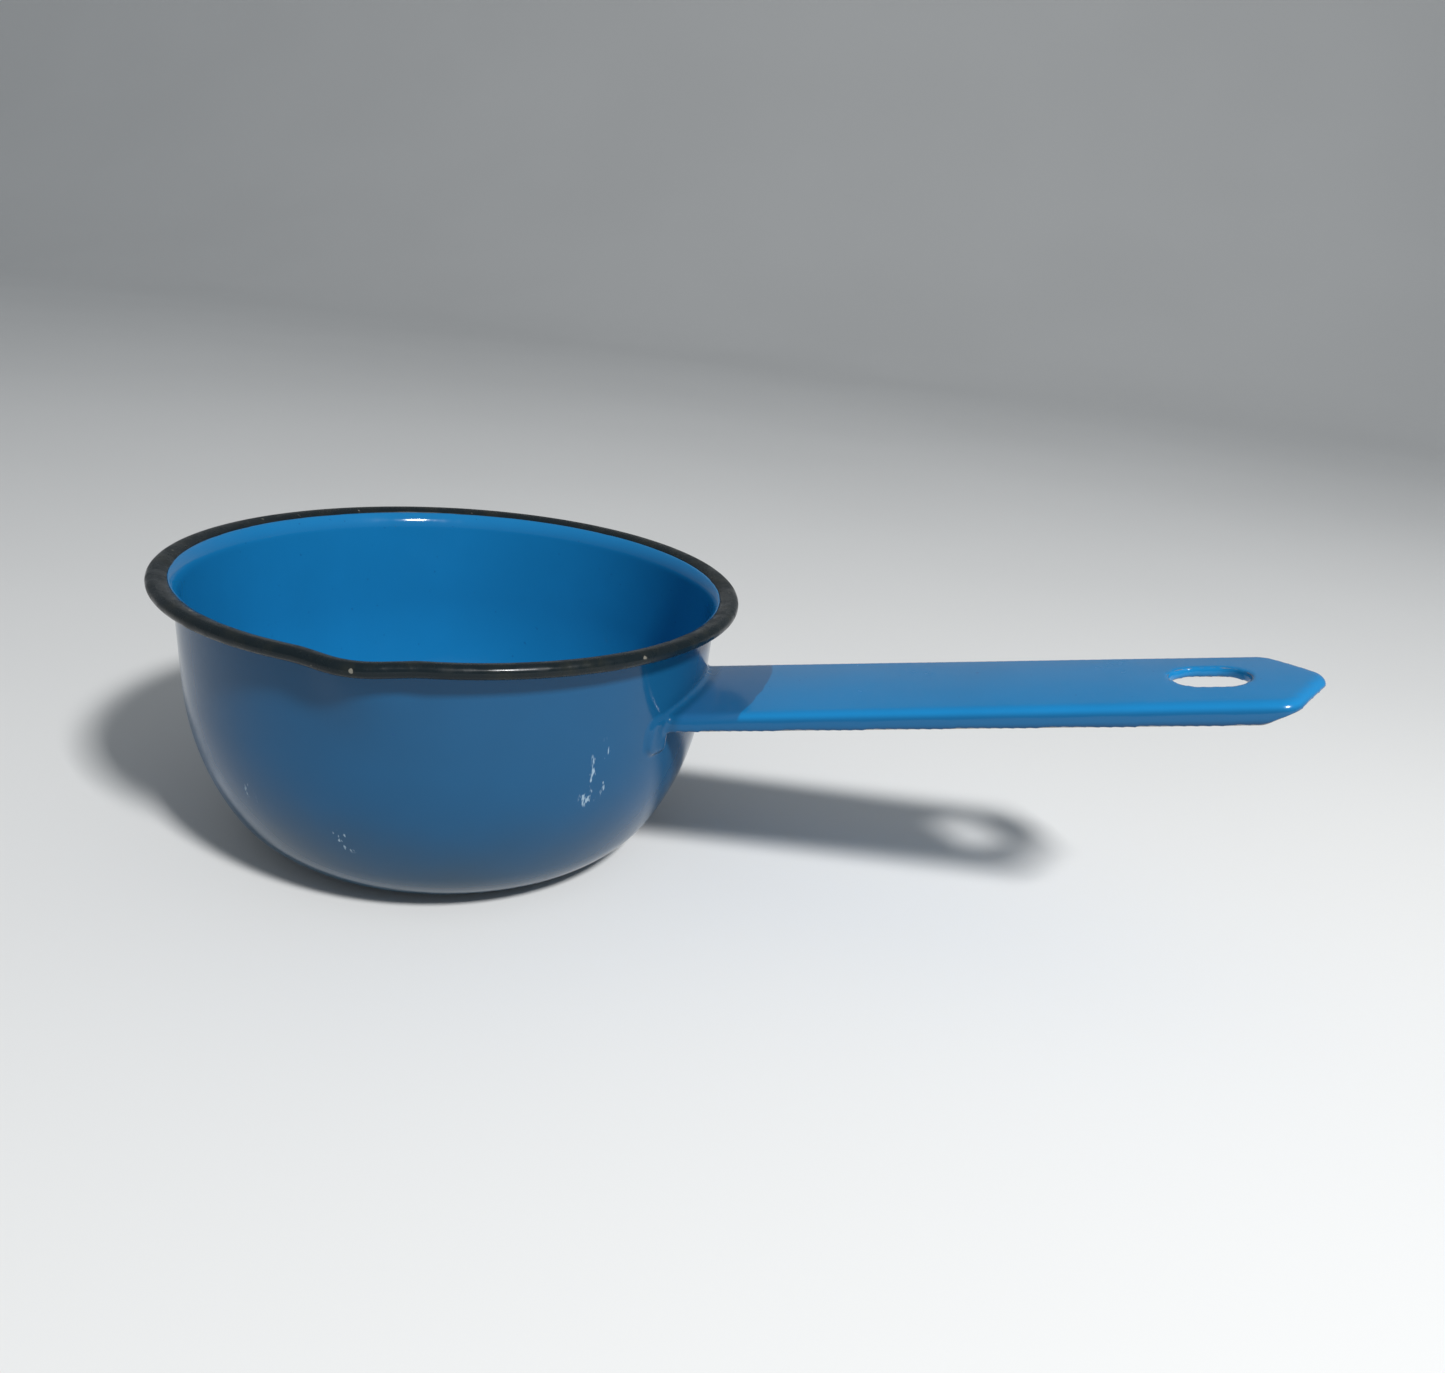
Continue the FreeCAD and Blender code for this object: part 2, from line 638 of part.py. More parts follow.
welds = joined("Part::MultiFuse", "welds", weldNodes)
bowlSteel = joined("Part::Cut", "bowl_steel", [bowlSteelPressing, welds])
handleSteel = joined("Part::Cut", "handle_steel", [handlePressing, welds])
handleCore = joined("Part::MultiFuse", "handle_core", [handlePressing, welds])
handleEnamel = joined("Part::Cut", "handle_enamel", [handleSkin, handleCore])
handleAll = joined("Part::MultiFuse", "handle_all", [handleSkin, handleCore])
outsideEnamel = joined("Part::Cut", "outside_enamel", [outsideCoat, handleAll])

pieces = [bowlSteel, insideEnamel, outsideEnamel, rimEnamel, handleSteel, handleEnamel] + weldNodes
doc.recompute()

# Checks and output.

for item in doc.Objects:
    if "Invalid" in item.State or "Error" in item.State:
        raise RuntimeError("%s failed to build" % item.Label)
os.makedirs("parts", exist_ok=True)
for piece in pieces:
    if piece.Shape.isNull() or not piece.Shape.isValid():
        raise RuntimeError("%s has no sound shape" % piece.Label)
    piece.Shape.exportStep(os.path.join("parts", piece.Label + ".step"))
    print("%-16s %d solid(s) %10.1f mm3" % (piece.Label, len(piece.Shape.Solids), piece.Shape.Volume))
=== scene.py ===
import math

import bmesh
import bpy
from mathutils import Matrix, Vector


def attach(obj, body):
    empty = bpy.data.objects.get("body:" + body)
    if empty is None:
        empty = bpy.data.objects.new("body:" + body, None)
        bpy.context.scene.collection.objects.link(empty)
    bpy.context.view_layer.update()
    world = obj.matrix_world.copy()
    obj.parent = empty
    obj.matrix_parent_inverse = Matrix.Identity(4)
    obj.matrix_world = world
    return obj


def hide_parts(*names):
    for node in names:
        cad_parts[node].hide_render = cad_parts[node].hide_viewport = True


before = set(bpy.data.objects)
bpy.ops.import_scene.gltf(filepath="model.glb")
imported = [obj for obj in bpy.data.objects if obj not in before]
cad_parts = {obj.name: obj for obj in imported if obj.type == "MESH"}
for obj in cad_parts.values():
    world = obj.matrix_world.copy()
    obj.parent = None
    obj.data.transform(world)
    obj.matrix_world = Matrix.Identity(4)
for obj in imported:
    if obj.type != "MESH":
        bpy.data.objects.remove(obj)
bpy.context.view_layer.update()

mm = 0.001

# What a user would change on the bowl, in millimetres and degrees.
bowl = {
    "rimRadius": 65.3,
    "rimTop": 63.5,
    "beadRadius": 1.5,
    "mouthRadius": 4.95,     # inside surface, where the wall turns out into the rim
    "curlTurn": 240.0,       # how far the rim is rolled, from its top
    "sealTurn": 25.0,        # how far the outside coat wraps the curl's cut edge
    "bridgeOuter": 25.0,     # how far up the flare that coat goes before it bridges to the curl
    "bridgeInner": 45.0,     # the same on the steel's face
    "bandTurn": 36.0,        # how far the black band reaches inwards from the top
    "cornerRadius": 23.5,
    "cornerTurn": 60.2,
    "bellyRadius": 60.0,
    "wallLean": 87.5,
    "steel": 0.8,
    "coat": 0.25,
    "lipTurn": -82.0,        # round from the handle
    "lipSpan": 24.0,
    "lipPush": 2.2,
    "lipDrop": 0.3,
    "footEase": 0.55,        # share of the wall that stays straight from its foot up, at the lip
    "mouthEase": 0.25,       # and from the mouth down
    "segments": 288,
    "unevenness": 0.10,      # hand-dipped enamel is never quite round
    "waveScale": 26.0,       # waves to the metre of that unevenness
    "steadyHeight": 20.0,    # it grows from nothing on the base to full at this height
    "steadyRadius": 5.0,     # and from nothing on the axis to full at this radius
    "weldGap": 0.004,        # points closer than this become one, at the seam and poles
}


def polar(centre, radius, angle):
    turn = math.radians(angle)
    return Vector((centre[0] + radius * math.cos(turn), centre[1] + radius * math.sin(turn)))


def newObject(name, data):
    made = bpy.data.objects.new(name, data)
    bpy.context.scene.collection.objects.link(made)
    return made


# The bowl's outline is worked out once, as points of (radius, height, share of the lip's push).
# A level is the depth below the outside surface.
outsideLevel = 0.0
steelOutLevel = bowl["coat"]
steelInLevel = bowl["coat"] + bowl["steel"]
insideLevel = 2 * bowl["coat"] + bowl["steel"]

rimX = bowl["rimRadius"] - bowl["beadRadius"]
mouthCentre = Vector((rimX, bowl["rimTop"] - bowl["mouthRadius"]))
beadCentre = Vector((rimX, bowl["rimTop"] - bowl["beadRadius"]))
wallNormal = polar((0, 0), 1, bowl["wallLean"] - 90)
wallAlong = polar((0, 0), 1, bowl["wallLean"])

# the flat of the base is what the wall and the two arcs leave over
cornerSweep = polar((0, 0), bowl["cornerRadius"], bowl["cornerTurn"] - 90)
cornerReach = cornerSweep + Vector((0, bowl["cornerRadius"]))
bellyRise = bowl["bellyRadius"] * (1 - math.cos(math.radians(bowl["wallLean"] - bowl["cornerTurn"])))
wallDistance = wallNormal.dot(mouthCentre) - (bowl["mouthRadius"] - insideLevel)
flatRadius = (wallDistance - bellyRise - wallNormal.dot(cornerReach)) / wallNormal.x
cornerCentre = Vector((flatRadius, bowl["cornerRadius"]))
cornerEnd = Vector((flatRadius, 0)) + cornerReach
bellyCentre = polar(cornerEnd, bowl["bellyRadius"], bowl["cornerTurn"] + 90)
curlEnd = 90 - bowl["curlTurn"]
sealEnd = curlEnd + bowl["sealTurn"]
bandEnd = 90 + bowl["bandTurn"]
flareStart = bowl["wallLean"] + 90


def arcPoints(centre, radius, fromAngle, toAngle, count, share):
    return [(*polar(centre, radius, fromAngle + (toAngle - fromAngle) * step / count), share)
            for step in range(count + 1)]


def lowerPoints(level, fine):
    # base, corner and belly, from the axis outwards
    base = [(flatRadius * step / 6, level, 0.0) for step in range(6)]
    corner = arcPoints(cornerCentre, bowl["cornerRadius"] - level, -90, bowl["cornerTurn"] - 90, fine, 0.0)
    belly = arcPoints(bellyCentre, bowl["bellyRadius"] - level, bowl["cornerTurn"] - 90,
                      bowl["wallLean"] - 90, fine, 0.0)
    return base + corner + belly[1:]


def mouthArcRadius(level):
    return bowl["mouthRadius"] - insideLevel + level


def beadArcRadius(level):
    return bowl["beadRadius"] - insideLevel + level


def wallPoints(level, fine):
    # a cubic whose upper half carries the lip's push, so the share rises smoothly
    start = polar(bellyCentre, bowl["bellyRadius"] - level, bowl["wallLean"] - 90)
    end = polar(mouthCentre, mouthArcRadius(level), flareStart)
    reach = (end - start).length
    found = []
    for step in range(1, fine + 1):
        t = step / fine
        run = reach * (3 * bowl["footEase"] * t * (1 - t) ** 2
                       + 3 * (1 - bowl["mouthEase"]) * t * t * (1 - t) + t ** 3)
        found.append((*(start + wallAlong * run), 3 * t * t - 2 * t ** 3))
    return found


def mouthPoints(level, fromAngle, toAngle, fine):
    return arcPoints(mouthCentre, mouthArcRadius(level), fromAngle, toAngle, fine, 1.0)


def beadPoints(level, fromAngle, toAngle, fine):
    return arcPoints(beadCentre, beadArcRadius(level), fromAngle, toAngle, fine, 1.0)


def outsideOutline():
    outer = lowerPoints(outsideLevel, 28) + wallPoints(outsideLevel, 26)
    outer += mouthPoints(outsideLevel, flareStart, flareStart - bowl["bridgeOuter"], 5)[1:]
    outer += beadPoints(insideLevel, sealEnd, curlEnd, 4)
    curlCorner = polar(beadCentre, beadArcRadius(steelOutLevel), curlEnd)
    inner = lowerPoints(steelOutLevel, 12) + wallPoints(steelOutLevel, 10)
    inner += mouthPoints(steelOutLevel, flareStart, flareStart - bowl["bridgeInner"], 6)[1:]
    return outer + [(*curlCorner, 1.0)] + inner[::-1]


def insideOutline():
    outer = lowerPoints(steelInLevel, 12) + wallPoints(steelInLevel, 10)
    outer += mouthPoints(steelInLevel, flareStart, bandEnd, 4)[1:]
    inner = lowerPoints(insideLevel, 28) + wallPoints(insideLevel, 26)
    inner += mouthPoints(insideLevel, flareStart, bandEnd, 10)[1:]
    return outer + inner[::-1]


def bandOutline():
    over = mouthPoints(insideLevel, bandEnd, 90, 10) + beadPoints(insideLevel, 90, curlEnd, 40)[1:]
    under = mouthPoints(steelInLevel, bandEnd, 90, 4) + beadPoints(steelInLevel, 90, curlEnd, 16)[1:]
    loop = over + under[::-1]
    return loop + loop[:1]


def newMaterial(name):
    material = bpy.data.materials.new(name)
    material.use_nodes = True
    tree = material.node_tree
    tree.nodes.clear()
    output = tree.nodes.new("ShaderNodeOutputMaterial")
    shader = tree.nodes.new("ShaderNodeBsdfPrincipled")
    tree.links.new(shader.outputs["BSDF"], output.inputs["Surface"])
    return material, tree, shader


def objectPlace(tree):
    return tree.nodes.new("ShaderNodeTexCoord").outputs["Object"]


def partsOf(tree, vector):
    node = tree.nodes.new("ShaderNodeSeparateXYZ")
    tree.links.new(vector, node.inputs["Vector"])
    return node.outputs


def vectorOf(tree, operation, vector, fixed=None):
    # a vector sum with a fixed second vector, or with none
    node = tree.nodes.new("ShaderNodeVectorMath")
    node.operation = operation
    tree.links.new(vector, node.inputs[0])
    if fixed is not None:
        node.inputs[1].default_value = fixed
    return node


def noiseOf(tree, place, scale, detail=2.0, roughness=0.5):
    node = tree.nodes.new("ShaderNodeTexNoise")
    node.inputs["Scale"].default_value = scale
    node.inputs["Detail"].default_value = detail
    node.inputs["Roughness"].default_value = roughness
    tree.links.new(place, node.inputs["Vector"])
    return node.outputs["Fac"]


def rampOf(tree, value, low, high, fromValue=0.0, toValue=1.0):
    node = tree.nodes.new("ShaderNodeMapRange")
    node.interpolation_type = "SMOOTHSTEP"
    node.inputs["From Min"].default_value = low
    node.inputs["From Max"].default_value = high
    node.inputs["To Min"].default_value = fromValue
    node.inputs["To Max"].default_value = toValue
    tree.links.new(value, node.inputs["Value"])
    return node.outputs["Result"]


def wanderOf(tree, place, scale, detail, reach):
    # a slow noise about zero, in metres, for an edge that isn't quite straight
    centred = mathOf(tree, "SUBTRACT", noiseOf(tree, place, scale, detail), 0.5)
    return mathOf(tree, "MULTIPLY", centred, reach)


def mathOf(tree, operation, *values):
    node = tree.nodes.new("ShaderNodeMath")
    node.operation = operation
    for slot, value in enumerate(values):
        if isinstance(value, (int, float)):
            node.inputs[slot].default_value = value
        else:
            tree.links.new(value, node.inputs[slot])
    return node.outputs["Value"]


def blendOf(tree, share, first, second):
    node = tree.nodes.new("ShaderNodeMix")
    node.data_type = "RGBA"
    if isinstance(share, (int, float)):
        node.inputs["Factor"].default_value = share
    else:
        tree.links.new(share, node.inputs["Factor"])
    for name, colour in (("A", first), ("B", second)):
        socket = next(item for item in node.inputs if item.name == name and item.type == "RGBA")
        if isinstance(colour, tuple):
            socket.default_value = (*colour, 1.0)
        else:
            tree.links.new(colour, socket)
    return next(item for item in node.outputs if item.type == "RGBA")


def bumpOf(tree, height, strength, distance, under=None):
    node = tree.nodes.new("ShaderNodeBump")
    node.inputs["Strength"].default_value = strength
    node.inputs["Distance"].default_value = distance
    tree.links.new(height, node.inputs["Height"])
    if under is not None:
        tree.links.new(under, node.inputs["Normal"])
    return node.outputs["Normal"]


# What a user would change on the fired glass. Colours are linear, scales are waves to the metre, and
# a range is where in the noise a mark begins and where it is full.
enamel = {
    "insideBlue": (0.008, 0.172, 0.405),
    "outsideBlue": (0.006, 0.078, 0.185),
    # the handle's back is painted lighter, and its sides and their lower edges darker, as light and shade
    # fall on them
    "handleLitBlue": (0.008, 0.195, 0.455),
    "flankShadeBlue": (0.006, 0.102, 0.245),    # on the handle's sides, painted shade
    "hemShadeBlue": (0.005, 0.055, 0.140),      # and painted shade along their lower edges
    "rootShadeBlue": (0.018, 0.110, 0.255),     # painted shade on the handle's back, next to the bowl
    "deepBlue": (0.006, 0.060, 0.180),     # where the cover coat ran thin
    "lowDarkBlue": (0.018, 0.052, 0.085),   # low on the bowl, darker towards the bottom
    "darkeningTop": 34.0,                       # mm, where the darkening begins
    "bandBlack": (0.006, 0.011, 0.014),
    "bandBrown": (0.016, 0.019, 0.017),
    # pale streaks, partly painted glints and partly scuffs
    "glintScuffPale": (0.30, 0.42, 0.52),
    "insideRoughness": 0.07,
    "outsideRoughness": 0.10,
    "handleRoughness": 0.14,
    "shine": 0.28,
    "refraction": 1.52,
    "cloudScale": 28,                      # thicker and thinner glass, in broad clouds
    "cloudRange": (0.30, 0.75),
    "cloudShare": 0.30,
    "cloudDepth": 0.72,
    "speckScale": 900,                     # pin specks of the dark ground coat
    "speckRange": (0.77, 0.80),
    "speckShare": 0.55,
    "smearScale": 45,                      # handling marks that dull the gloss
    "smearRange": (0.42, 0.72),
    "smearRoughness": 0.16,
    "rippleScale": 70,                     # the fired surface's slow waves
    "rippleStrength": 0.9,
    "rippleHeight": 0.10,                  # mm
    "peelScale": 420,                      # and its fine orange peel
    "peelStrength": 0.35,
    "peelHeight": 0.012,                   # mm
}

# Each patch of pale streaks, partly painted glints and partly scuffs, has its middle and its reach in mm.
# The higher its threshold, the fewer its streaks.
scuffs = [
    {"middle": (48.5, -34.0, 36.5), "reach": (5.0, 5.0, 8.0), "threshold": 0.60},
    {"middle": (46.0, -36.0, 31.0), "reach": (2.2, 2.2, 3.0), "threshold": 0.56},
    {"middle": (2.5, -55.5, 20.5), "reach": (4.5, 3.0, 3.6), "threshold": 0.60},
    {"middle": (-19.0, -52.0, 27.0), "reach": (3.5, 3.5, 7.0), "threshold": 0.63},
]
scratch = {
    "scale": 800,
    "stretch": 0.30,           # below 1 draws the streaks out upwards
    "softness": 0.07,
    "fadeFrom": 0.55,          # share of the reach at which a patch starts to fade
    "strength": 0.85,
}
soot = {
    "low": 2.0,                # mm, below which the darkening is full
    "scale": 35,
    "wander": 24.0,            # mm, how far its edge strays
    "strength": 0.85,
}


def scuffsOver(tree, tone, place):
    # short pale streaks, partly painted glints and partly scuffs, that run mostly up and down, within each
    # patch
    drawn = vectorOf(tree, "MULTIPLY", place, (1.0, 1.0, scratch["stretch"])).outputs["Vector"]
    scratches = noiseOf(tree, drawn, scratch["scale"], 2, 0.6)
    for scuff in scuffs:
        middle = [part * mm for part in scuff["middle"]]
        reach = [part * mm for part in scuff["reach"]]
        away = vectorOf(tree, "SUBTRACT", place, middle).outputs["Vector"]
        shrunk = vectorOf(tree, "DIVIDE", away, reach).outputs["Vector"]
        length = vectorOf(tree, "LENGTH", shrunk).outputs["Value"]
        patch = rampOf(tree, length, scratch["fadeFrom"], 1.0, scratch["strength"], 0.0)
        marks = rampOf(tree, scratches, scuff["threshold"], scuff["threshold"] + scratch["softness"])
        tone = blendOf(tree, mathOf(tree, "MULTIPLY", patch, marks), tone, enamel["glintScuffPale"])
    return tone


# darker towards the bottom of the bowl, up to a ragged edge
def sootOver(tree, tone, place):
    ragged = wanderOf(tree, place, soot["scale"], 4, soot["wander"] * mm)
    height = mathOf(tree, "ADD", partsOf(tree, place)["Z"], ragged)
    dulled = rampOf(tree, height, soot["low"] * mm, enamel["darkeningTop"] * mm, soot["strength"], 0.0)
    return blendOf(tree, dulled, tone, enamel["lowDarkBlue"])


def enamelMaterial(name, colour, roughness):
    material, tree, shader = newMaterial(name)
    place = objectPlace(tree)
    cloudNoise = noiseOf(tree, place, enamel["cloudScale"], 3, 0.55)
    clouds = rampOf(tree, cloudNoise, *enamel["cloudRange"], 0.0, enamel["cloudShare"])
    tone = blendOf(tree, clouds, colour, tuple(enamel["cloudDepth"] * part for part in colour))
    speckNoise = noiseOf(tree, place, enamel["speckScale"], 1, 0.4)
    specks = rampOf(tree, speckNoise, *enamel["speckRange"], 0.0, enamel["speckShare"])
    tone = blendOf(tree, specks, tone, enamel["deepBlue"])
    tree.links.new(tone, shader.inputs["Base Color"])
    smearNoise = noiseOf(tree, place, enamel["smearScale"], 5, 0.65)
    dullest = roughness + enamel["smearRoughness"]
    smears = rampOf(tree, smearNoise, *enamel["smearRange"], roughness, dullest)
    tree.links.new(smears, shader.inputs["Roughness"])
    ripple = bumpOf(tree, noiseOf(tree, place, enamel["rippleScale"], 2, 0.4),
                    enamel["rippleStrength"], enamel["rippleHeight"] * mm)
    peel = bumpOf(tree, noiseOf(tree, place, enamel["peelScale"], 2, 0.5),
                  enamel["peelStrength"], enamel["peelHeight"] * mm, ripple)
    tree.links.new(peel, shader.inputs["Normal"])
    shader.inputs["IOR"].default_value = enamel["refraction"]
    shader.inputs["Specular IOR Level"].default_value = enamel["shine"]
    return material, tree, shader, tone, place


insideMaterial, insideTree, insideShader, insideTone, insidePlace = enamelMaterial(
    "fired blue inside", enamel["insideBlue"], enamel["insideRoughness"])
outsideMaterial, outsideTree, outsideShader, outsideTone, outsidePlace = enamelMaterial(
    "fired blue outside", enamel["outsideBlue"], enamel["outsideRoughness"])
outsideTone = sootOver(outsideTree, outsideTone, outsidePlace)
outsideTree.links.new(scuffsOver(outsideTree, outsideTone, outsidePlace),
                      outsideShader.inputs["Base Color"])
handleMaterial, handleTree, handleShader, handleTone, handlePlace = enamelMaterial(
    "fired blue handle", enamel["handleLitBlue"], enamel["handleRoughness"])


def fromAxis(tree, place):
    # how far each spot lies from the bowl's own axis
    parts = partsOf(tree, place)
    across = mathOf(tree, "POWER", parts["X"], 2.0)
    along = mathOf(tree, "POWER", parts["Y"], 2.0)
    return mathOf(tree, "SQRT", mathOf(tree, "ADD", across, along))


# What a user would change on the black band.
band = {
    "shine": 0.20,
    "refraction": 1.5,
    "wearScale": 160,          # where the black has gone brown
    "wearRange": (0.45, 0.75),
    "chipScale": 520,
    "chipRange": (0.72, 0.76),
    "chipShare": 0.8,
    "chipColour": (0.20, 0.19, 0.16),
    "glossScale": 210,
    "glossRange": (0.35, 0.70),
    "roughness": (0.16, 0.42),
    "lumpScale": 190,
    "lumpStrength": 0.9,
    "lumpHeight": 0.10,        # mm
    "edgeScale": 130,          # the band's lower edge, inside the bowl
    "edgeWander": 0.7,         # mm
    "edgeInside": 0.12,        # mm, from its line towards the axis, where the black starts
    "edgeOutside": 0.05,       # mm, from its line outwards, where it is full
}


def blackBandOver(tree, tone, place):
    # the band was rolled on by hand: at the lip it keeps to its own line and covers the flare
    wobble = wanderOf(tree, place, band["edgeScale"], 2, band["edgeWander"] * mm)
    reach = mathOf(tree, "ADD", fromAxis(tree, place), wobble)
    edge = (rimX - mouthArcRadius(insideLevel) * math.sin(math.radians(bowl["bandTurn"]))) * mm
    covered = rampOf(tree, reach, edge - band["edgeInside"] * mm, edge + band["edgeOutside"] * mm)
    return blendOf(tree, covered, tone, enamel["bandBlack"])


insideTree.links.new(blackBandOver(insideTree, insideTone, insidePlace),
                     insideShader.inputs["Base Color"])


# What a user would change on the handle's painted light and shade. Its first three values repeat how the
# handle stands.
handleWear = {
    "rise": 11.5,                # degrees, as the handle stands
    "backHeight": 46.1,          # mm, of the back where it leaves the wall
    "wallRadius": 59.6,          # mm, of the wall there
    "flankDepth": (1.2, 2.6),    # mm below the back, over which the side's painted shade comes in
    "hemDepth": (3.6, 5.2),      # and the lower edge's
    "jointReach": (61.2, 63.6),  # mm from the bowl's axis, over which the bowl's blue ends
    "shadeReach": 75.0,           # mm from the bowl's axis, where the painted shade ends
    "shadeEdge": 0.6,             # mm, how softly
    "shadeScale": 160,
    "shadeWander": 1.2,           # mm
    "shadeShare": 0.95,
}


def handleWearOver(tree, tone, place):
    # how far each spot lies below the handle's back
    rise = math.radians(handleWear["rise"])
    backWay = Vector((-math.sin(rise), 0, math.cos(rise)))
    backRoot = Vector((handleWear["wallRadius"], 0, handleWear["backHeight"])) * mm
    toward = vectorOf(tree, "DOT_PRODUCT", place, backWay).outputs["Value"]
    depth = mathOf(tree, "SUBTRACT", backWay.dot(backRoot), toward)
    reach = fromAxis(tree, place)
    # painted shade on the handle's back next to the bowl, with a ragged end
    ragged = wanderOf(tree, place, handleWear["shadeScale"], 3, handleWear["shadeWander"] * mm)
    heatEnd = handleWear["shadeReach"] * mm
    heatStart = heatEnd - handleWear["shadeEdge"] * mm
    heated = rampOf(tree, mathOf(tree, "ADD", reach, ragged), heatStart, heatEnd,
                    handleWear["shadeShare"], 0.0)
    tone = blendOf(tree, heated, tone, enamel["rootShadeBlue"])
    # painted shade: the sides and their lower edges are darker than the back
    for key, colour in (("flankDepth", "flankShadeBlue"), ("hemDepth", "hemShadeBlue")):
        low, high = (part * mm for part in handleWear[key])
        tone = blendOf(tree, rampOf(tree, depth, low, high), tone, enamel[colour])
    # the glass on the joint is the bowl's own
    low, high = (part * mm for part in handleWear["jointReach"])
    return blendOf(tree, rampOf(tree, reach, low, high, 1.0, 0.0), tone, enamel["outsideBlue"])


handleTree.links.new(handleWearOver(handleTree, handleTone, handlePlace),
                     handleShader.inputs["Base Color"])


def bandMaterial():
    material, tree, shader = newMaterial("fired black band")
    place = objectPlace(tree)
    worn = rampOf(tree, noiseOf(tree, place, band["wearScale"], 4, 0.6), *band["wearRange"])
    tone = blendOf(tree, worn, enamel["bandBlack"], enamel["bandBrown"])
    chips = rampOf(tree, noiseOf(tree, place, band["chipScale"], 2, 0.5), *band["chipRange"],
                   0.0, band["chipShare"])
    tone = blendOf(tree, chips, tone, band["chipColour"])
    tree.links.new(tone, shader.inputs["Base Color"])
    gloss = rampOf(tree, noiseOf(tree, place, band["glossScale"], 4, 0.6), *band["glossRange"],
                   *band["roughness"])
    tree.links.new(gloss, shader.inputs["Roughness"])
    lumps = bumpOf(tree, noiseOf(tree, place, band["lumpScale"], 3, 0.5), band["lumpStrength"],
                   band["lumpHeight"] * mm)
    tree.links.new(lumps, shader.inputs["Normal"])
    shader.inputs["IOR"].default_value = band["refraction"]
    shader.inputs["Specular IOR Level"].default_value = band["shine"]
    return material


# What a user would change on the bare steel.
steel = {
    "sheetTint": (0.42, 0.42, 0.43),
    "weldTint": (0.34, 0.33, 0.32),
    "grainScale": 300,
    "darkening": 0.6,          # what the grain's hollows keep of the tint
    "roughness": (0.35, 0.60),
    "grainStrength": 0.3,
    "grainHeight": 0.02,       # mm
}


def steelMaterial(name, tint):
    material, tree, shader = newMaterial(name)
    grain = noiseOf(tree, objectPlace(tree), steel["grainScale"], 4, 0.6)
    dark = tuple(steel["darkening"] * part for part in tint)
    tree.links.new(blendOf(tree, rampOf(tree, grain, 0.3, 0.7), tint, dark), shader.inputs["Base Color"])
    tree.links.new(rampOf(tree, grain, 0.2, 0.8, *steel["roughness"]), shader.inputs["Roughness"])
    bump = bumpOf(tree, grain, steel["grainStrength"], steel["grainHeight"] * mm)
    tree.links.new(bump, shader.inputs["Normal"])
    shader.inputs["Metallic"].default_value = 1.0
    return material


blackMaterial = bandMaterial()
pressedSteel = steelMaterial("pickled steel sheet", steel["sheetTint"])
weldedSteel = steelMaterial("spot weld", steel["weldTint"])
print("materials made")


